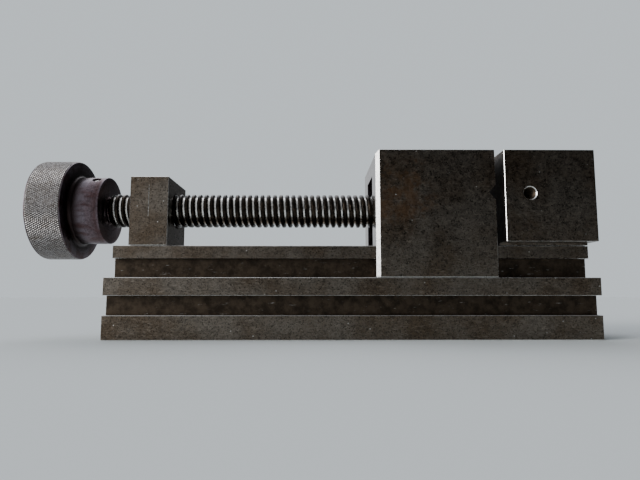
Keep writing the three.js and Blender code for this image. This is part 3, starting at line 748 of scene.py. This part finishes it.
class VISE_OT_moving_jaw(bpy.types.Operator):
    """Moving jaw that wraps the rail, with its V groove and the slot for the screw"""
    bl_idname = "vise.moving_jaw"
    bl_label = "Moving Jaw"

    def execute(self, context):
        size = sizes()
        back, front = MOVING_LOW.x, MOVING_HIGH.x
        neck, rail = size.neck_half_width + GAP, size.rail_half_width + GAP
        lip, seat = size.rail_underside - GAP, RAIL_TOP + GAP
        outline = mirrored([
            (rail, seat), (rail, lip), (neck, lip), (neck, MOVING_LOW.z),
            (HALF_WIDTH, MOVING_LOW.z), (HALF_WIDTH, MOVING_HIGH.z),
        ])
        bm = prism(outline, back, front)
        corners = outer_edges(bm, lambda edge: all(
            abs(v.co.x - back) < 1e-6 and abs(abs(v.co.y) - HALF_WIDTH) < 1e-6
            for v in edge.verts))
        chamfer(bm, corners, size.back_corner * math.sqrt(2))
        chamfer(bm, fresh_edges(bm), size.edge_break)
        stain_at = (back + 11 * MM, -HALF_WIDTH, RAIL_TOP + 22 * MM)
        # The back face is lapped; the clamping face takes painted shade.
        for face in bm.faces:
            if face.normal.x < -0.9:
                face.material_index = OTHERS
            elif face.normal.x > 0.9:
                face.material_index = CLAMPING
        piece = link_piece("moving_jaw_body", bm, finish(ground_tool_steel, "stained", stain_at),
                           finish(worn_edge_steel), finish(lapped_steel),
                           finish(painted_shade_steel))
        slot_back = back + size.slot_depth
        slot = prism([(-size.slot_half_width, RAIL_TOP), (size.slot_half_width, RAIL_TOP),
                      (size.slot_half_width, size.slot_top),
                      (-size.slot_half_width, size.slot_top)], back - MM, slot_back)
        bore_radius, bore_end = size.thread_radius + GAP, slot_back + COLLAR_BORE_DEPTH
        bore = lathe([(slot_back - OVERCUT, 0), (slot_back - OVERCUT, bore_radius),
                      (bore_end, bore_radius), (bore_end, 0)], 96, (0, SCREW_AXIS_Z))
        half_mouth = size.v_groove_height / 2
        slope = half_mouth / size.v_groove_depth
        groove = prism([(front + MM, size.v_groove_z - half_mouth - slope * MM),
                        (front + MM, size.v_groove_z + half_mouth + slope * MM),
                        (front - size.v_groove_depth, size.v_groove_z)],
                       -HALF_WIDTH - MM, HALF_WIDTH + MM, "Y")
        # The V groove takes painted shade; the slot and the bore are turned steel.
        cut_away(piece, (slot, finish(turned_steel)), (bore, finish(turned_steel)),
                 (groove, finish(painted_shade_steel)))
        finish_piece(piece, "sliding_jaw", "ground_steel", "moving_jaw")
        return {"FINISHED"}


class VISE_OT_lead_screw(bpy.types.Operator):
    """Lead screw with its thread, its neck and collar in the jaw, and its spigot in the knob"""
    bl_idname = "vise.lead_screw"
    bl_label = "Lead Screw"

    def execute(self, context):
        size = sizes()
        start, end = KNOB_HIGH.x + GAP, MOVING_LOW.x + THREAD_IN_JAW
        foot, sides = size.thread_root - THREAD_FOOT, 72
        spigot, neck = size.spigot_radius, size.neck_radius
        collar_start = SCREW_HIGH.x - COLLAR_LENGTH
        shaft = lathe([(SCREW_LOW.x + 1.6 * MM, 0), (SCREW_LOW.x, 1.4 * MM),
                       *reversed(rounded(SCREW_LOW.x, spigot, 0.5 * MM, 1)),
                       (start, spigot), (start, foot)], sides)
        nose = lathe([(end, foot), (end, neck), (collar_start, neck),
                      (collar_start, size.thread_radius), (SCREW_HIGH.x, size.thread_radius),
                      (SCREW_HIGH.x, 0)], sides)
        bm = weld(thread(start, end, size.thread_radius, size.thread_root, size.thread_pitch,
                         foot, sides), shaft, nose)
        for face in bm.faces:
            face.material_index = 0 if start < face.calc_center_median().x < end else 1
        bmesh.ops.translate(bm, vec=(0, 0, SCREW_AXIS_Z), verts=bm.verts)
        # The thread takes the steel with a painted highlight in each gap.
        piece = link_piece("lead_screw_body", bm, finish(thread_steel_with_painted_highlight),
                           finish(hardened_ground_steel))
        finish_piece(piece, "screw", "screw_steel", "lead_screw")
        return {"FINISHED"}


class VISE_OT_knob(bpy.types.Operator):
    """Knob with its knurled rim, turned faces and hub"""
    bl_idname = "vise.knob"
    bl_label = "Knob"

    def execute(self, context):
        size = sizes()
        radius = KNOB_HIGH.y
        outer, inner = KNOB_LOW.x, KNOB_LOW.x + size.knob_shoulder
        rim, bevel, fillet = 0.45 * MM, 0.3 * MM, 1.5 * MM
        starts = round(2 * math.pi * radius / size.knurl_pitch)
        lean = math.tan(math.radians(30))
        row = (2 * math.pi * radius / starts) / (4 * lean)
        rows = int((inner - outer - 2 * rim) / row)
        knurl_from = (outer + inner - rows * row) / 2
        band = [(knurl_from + i * row, radius) for i in range(rows + 1)]
        floor = radius - size.knurl_depth
        bore = size.spigot_radius + GAP
        profile = [(outer + 0.5 * MM, bore), (outer, bore + 0.5 * MM),
                   *reversed(rounded(outer, floor, 0.4 * MM, 1)), *band,
                   *rounded(inner, floor, bevel, -1),
                   *[(inner + fillet * (1 - math.cos(a)), size.hub_radius + fillet * (1 - math.sin(a)))
                     for a in [math.pi / 2 * i / 6 for i in range(7)]],
                   *rounded(KNOB_HIGH.x, size.hub_radius, bevel, -1),
                   (KNOB_HIGH.x, bore + 0.5 * MM), (KNOB_HIGH.x - 0.5 * MM, bore),
                   (outer + 0.5 * MM, bore)]
        bm = lathe(profile, 4 * starts, (0, SCREW_AXIS_Z))
        bmesh.ops.remove_doubles(bm, verts=bm.verts, dist=1e-7)
        for vert in bm.verts:
            knurl(vert, knurl_from, knurl_from + rows * row, row, radius, size.knurl_depth, starts)
        for face in bm.faces:
            middle = face.calc_center_median()
            out = math.hypot(middle.y, middle.z - SCREW_AXIS_Z)
            on_band = knurl_from < middle.x < knurl_from + rows * row and out > floor - bevel
            face.material_index = 0 if on_band else 1
        piece = link_piece("knob_body", bm, finish(knurled_steel), finish(turned_steel))
        centre = (PIN_LOW + PIN_HIGH) / 2
        reach = (PIN_HIGH - PIN_LOW) * 0.6
        along = Vector((0, -reach.y, reach.z))
        hole = rod(2.1 * MM, centre - along, centre + along)
        cut_away(piece, (hole, finish(turned_steel)))
        finish_piece(piece, "screw", "turned_steel", "knob")
        return {"FINISHED"}


def knurl(vert, start, end, row, radius, depth, starts):
    """Sinks a rim vertex by the two crossed families of ridges, so that each cell is a pyramid."""
    if not start - 1e-7 <= vert.co.x <= end + 1e-7:
        return
    y, z = vert.co.y, vert.co.z - SCREW_AXIS_Z
    if math.hypot(y, z) < radius - 1e-6:
        return
    around = starts * math.atan2(z, y) / (2 * math.pi)
    along = (vert.co.x - start) / (4 * row)
    ridges = [1 - abs(2 * (phase % 1) - 1) for phase in (around + along, around - along)]
    edge = min(1.0, (vert.co.x - start) / row, (end - vert.co.x) / row)
    sunk = radius - depth * (1 - min(ridges) * max(edge, 0.0))
    vert.co.y, vert.co.z = y * sunk / radius, SCREW_AXIS_Z + z * sunk / radius


class VISE_OT_pin(bpy.types.Operator):
    """Cross pin that holds the knob on the screw"""
    bl_idname = "vise.pin"
    bl_label = "Knob Pin"

    def execute(self, context):
        centre = (PIN_LOW + PIN_HIGH) / 2
        radius = (PIN_HIGH.x - PIN_LOW.x) / 2
        reach = sizes().hub_radius - 0.6 * MM
        domed = [(reach - 0.6 * MM + 0.6 * MM * math.sin(a), radius * math.cos(a))
                 for a in [math.pi / 2 * i / 5 for i in range(6)]]
        domed[-1] = (reach, 0)
        bm = lathe([(-x, r) for x, r in reversed(domed)] + domed, 48)
        across = Vector((0, PIN_LOW.y - centre.y, PIN_HIGH.z - centre.z)).normalized()
        turn = Vector((1, 0, 0)).rotation_difference(across).to_matrix().to_4x4()
        bmesh.ops.transform(bm, matrix=Matrix.Translation(centre) @ turn, verts=bm.verts)
        piece = link_piece("knob_pin_body", bm, finish(hardened_ground_steel))
        finish_piece(piece, "screw", "hardened_steel", "knob_pin")
        return {"FINISHED"}


def cap_screw(head_radius, head_height, shank_radius, overall, socket):
    """A socket head cap screw along X, its head's face at x = 0, as a bmesh."""
    across = socket / math.sqrt(3)
    bm = lathe([(0.55 * head_height, 0), (0.5 * head_height, across * 0.8),
                (0.5 * head_height, across), (0, across * 1.08), (0, across * 1.08 + 0.2 * MM),
                *reversed(rounded(0, head_radius, 0.5 * MM, 1)),
                *rounded(head_height, head_radius, 0.2 * MM, -1),
                (head_height, shank_radius + 0.2 * MM), (head_height + 0.2 * MM, shank_radius),
                (overall - 0.6 * MM, shank_radius), (overall, shank_radius - 0.6 * MM),
                (overall, 0)], 60)
    for vert in bm.verts:
        out = math.hypot(vert.co.y, vert.co.z)
        if 0.1 * across < out < across * 1.09 and vert.co.x < 0.6 * head_height:
            sector = math.pi / 3
            turn = math.atan2(vert.co.z, vert.co.y) % sector - sector / 2
            flat = math.cos(sector / 2) / math.cos(turn)
            vert.co.y *= flat
            vert.co.z *= flat
    return bm


class VISE_OT_cap_screws(bpy.types.Operator):
    """Cap screws under the base, and the two that hold the keeper"""
    bl_idname = "vise.cap_screws"
    bl_label = "Cap Screws"

    def execute(self, context):
        for name in CAP_SCREWS:
            low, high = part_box(name)
            bm = cap_screw((high.x - low.x) / 2, 6 * MM, 3 * MM, high.z - low.z, 5 * MM)
            stand_up(bm, (low.x + high.x) / 2, (low.y + high.y) / 2)
            bmesh.ops.translate(bm, vec=(0, 0, low.z), verts=bm.verts)
            piece = link_piece(name + "_body", bm, finish(black_oxide_steel))
            finish_piece(piece, "vise_base", "black_oxide_steel", name)
        for name in KEEPER_SCREWS:
            low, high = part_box(name)
            bm = cap_screw((high.y - low.y) / 2, 3 * MM, 2 * MM, high.x - low.x, 3 * MM)
            at = (low.x, (low.y + high.y) / 2, (low.z + high.z) / 2)
            bmesh.ops.translate(bm, vec=at, verts=bm.verts)
            piece = link_piece(name + "_body", bm, finish(black_oxide_steel))
            finish_piece(piece, "sliding_jaw", "black_oxide_steel", name)
        return {"FINISHED"}


class VISE_OT_hardware(bpy.types.Operator):
    """Finishes of the dowels, the thrust button and the keeper plate, whose shapes are final"""
    bl_idname = "vise.hardware"
    bl_label = "Dowels and Keeper"

    def execute(self, context):
        looks = dict.fromkeys(DOWELS + ["thrust_button"], hardened_ground_steel)
        looks["keeper_plate"] = turned_steel
        for name, recipe in looks.items():
            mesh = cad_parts[name].data
            mesh.materials.clear()
            mesh.materials.append(finish(recipe))
        return {"FINISHED"}


# ---------- operator: the stage ----------

def aim(thing, target):
    """Turns a light or camera towards a point."""
    away = Vector(target) - thing.location
    thing.rotation_euler = away.to_track_quat("-Z", "Y").to_euler()


def soft_sun(name, toward, strength, spread, tint):
    """A far softbox, as an even light whose disc is spread degrees wide."""
    lamp = bpy.data.lights.new(name, "SUN")
    lamp.energy = strength
    lamp.angle = math.radians(spread)
    lamp.color = linear(tint)[:3]
    sun = bpy.data.objects.new(name, lamp)
    sun.location = toward
    bpy.context.scene.collection.objects.link(sun)
    aim(sun, (0, 0, 0))


def studio_world():
    """A surround that reflections see bright on the left and behind, and dim on the near side."""
    world = bpy.data.worlds.new("studio")
    bpy.context.scene.world = world
    world.use_nodes = True
    tree = world.node_tree
    tree.nodes.clear()
    toward = add_node(tree, "ShaderNodeTexCoord").outputs["Generated"]
    parts = add_node(tree, "ShaderNodeSeparateXYZ", {0: toward})
    left = between(tree, parts.outputs["X"], 0.1, -0.7, 0.0, 1.3)
    above = between(tree, parts.outputs["Z"], 0.4, 1.0, 0.0, 0.25)
    behind = combine(tree, "MULTIPLY", between(tree, parts.outputs["Y"], 0.1, 0.9, 0.0, 0.5),
                     between(tree, parts.outputs["X"], 0.3, -0.05))
    level = combine(tree, "ADD", combine(tree, "ADD", left, above),
                    combine(tree, "ADD", behind, NEAR_LEVEL))
    seen = add_node(tree, "ShaderNodeLightPath").outputs["Is Camera Ray"]
    tint = blend_colours(tree, seen, linear("EEF2F8"), linear(BACKDROP))
    strength = add_node(tree, "ShaderNodeMix", {0: seen, 2: level, 3: 1.0}).outputs[0]
    glow = add_node(tree, "ShaderNodeBackground", {"Color": tint, "Strength": strength})
    add_node(tree, "ShaderNodeOutputWorld", {"Surface": glow.outputs["Background"]})


class VISE_OT_stage(bpy.types.Operator):
    """Pale floor, soft light and the camera"""
    bl_idname = "vise.stage"
    bl_label = "Stage"

    def execute(self, context):
        camera = bpy.data.objects.new("camera", bpy.data.cameras.new("camera"))
        camera.data.sensor_width = 36
        camera.data.lens = 28.9
        camera.data.clip_start = 0.01
        camera.location = (BASE_LOW.x + 90.8 * MM, BASE_LOW.y - 222.7 * MM, 18.9 * MM)
        camera.rotation_euler = (math.radians(90 + 6.2), 0, math.radians(-0.7))
        context.scene.collection.objects.link(camera)
        context.scene.camera = camera

        reach = 6.0
        bm = bmesh.new()
        bmesh.ops.create_grid(bm, x_segments=8, y_segments=8, size=reach)
        paper = bpy.data.materials.new("matt_paper")
        paper.use_nodes = True
        shader = paper.node_tree.nodes["Principled BSDF"]
        shader.inputs["Base Color"].default_value = finishes().floor
        shader.inputs["Roughness"].default_value = 0.9
        shader.inputs["Specular IOR Level"].default_value = 0.0
        bmesh.ops.translate(bm, vec=(0, 0, BASE_LOW.z - 0.05 * MM), verts=bm.verts)
        floor = link_piece("floor", bm, paper)

        soft_sun("key_left", (-1.0, -0.5, 0.3), 2.4, 30, "FFFFFF")
        soft_sun("overhead", (-0.2, 0.7, 1.0), 0.9, 50, "F4F7FF")
        studio_world()
        return {"FINISHED"}


class VISE_PT_panel(bpy.types.Panel):
    """Lists the vise's pieces, sizes and colours"""
    bl_idname = "VISE_PT_panel"
    bl_label = "Precision Vise"
    bl_space_type = "VIEW_3D"
    bl_region_type = "UI"
    bl_category = "Vise"

    def draw(self, context):
        layout = self.layout
        for operator in OPERATORS:
            layout.operator(operator.bl_idname)
        for group in (context.scene.vise_sizes, context.scene.vise_finishes):
            column = layout.column()
            for field in group.__annotations__:
                column.prop(group, field)


OPERATORS = (
    VISE_OT_stage, VISE_OT_base, VISE_OT_nut_block, VISE_OT_fixed_jaw, VISE_OT_moving_jaw,
    VISE_OT_lead_screw, VISE_OT_knob, VISE_OT_pin, VISE_OT_cap_screws, VISE_OT_hardware,
)
CLASSES = (ViseSizes, ViseFinishes, *OPERATORS, VISE_PT_panel)


def register():
    for item in CLASSES:
        bpy.utils.register_class(item)
    bpy.types.Scene.vise_sizes = bpy.props.PointerProperty(type=ViseSizes)
    bpy.types.Scene.vise_finishes = bpy.props.PointerProperty(type=ViseFinishes)


def unregister():
    del bpy.types.Scene.vise_sizes
    del bpy.types.Scene.vise_finishes
    for item in reversed(CLASSES):
        bpy.utils.unregister_class(item)


def main():
    register()
    bpy.ops.vise.stage()
    bpy.ops.vise.base()
    bpy.ops.vise.nut_block()
    bpy.ops.vise.fixed_jaw()
    bpy.ops.vise.moving_jaw()
    bpy.ops.vise.lead_screw()
    bpy.ops.vise.knob()
    bpy.ops.vise.pin()
    bpy.ops.vise.cap_screws()
    bpy.ops.vise.hardware()


if __name__ == "__main__":
    main()
